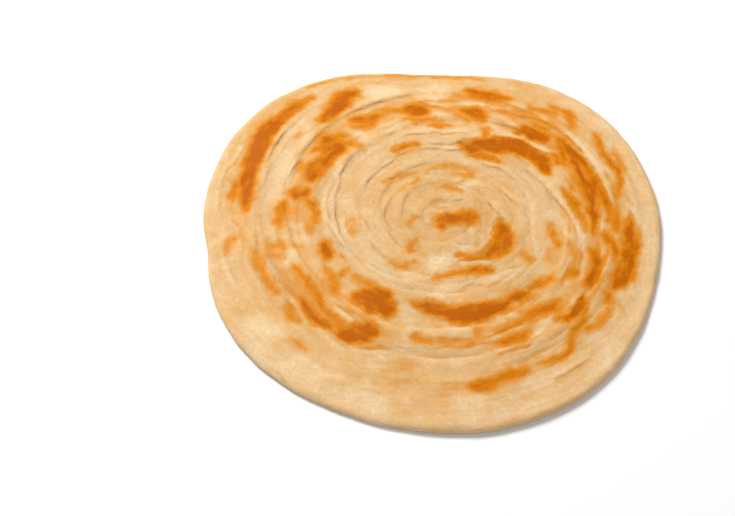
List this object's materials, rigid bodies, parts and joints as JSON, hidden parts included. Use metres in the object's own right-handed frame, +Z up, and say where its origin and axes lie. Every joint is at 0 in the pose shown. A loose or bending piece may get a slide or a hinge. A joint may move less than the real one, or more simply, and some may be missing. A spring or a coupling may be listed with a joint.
{
  "type": "paratha flatbread",
  "caption": "Round, pan-toasted flaky flatbread: a coiled rope of layered dough rolled out thin, with a rolled pale rim and brown toasted patches along the coil.",
  "frame": {"origin": "centre of the bread's bounding box in plan, at the height of the table it lies on", "axes": "+Z up out of the toasted top face, +X to the right and +Y away from the viewer of the shown side"},
  "size_m": [0.185, 0.1832, 0.007],
  "materials": {
    "dough": "soft, faintly oily cooked wheat dough: cream, with orange-brown toasted patches"
  },
  "bodies": {
    "root": {"paratha": "dough"}
  },
  "joints": []
}
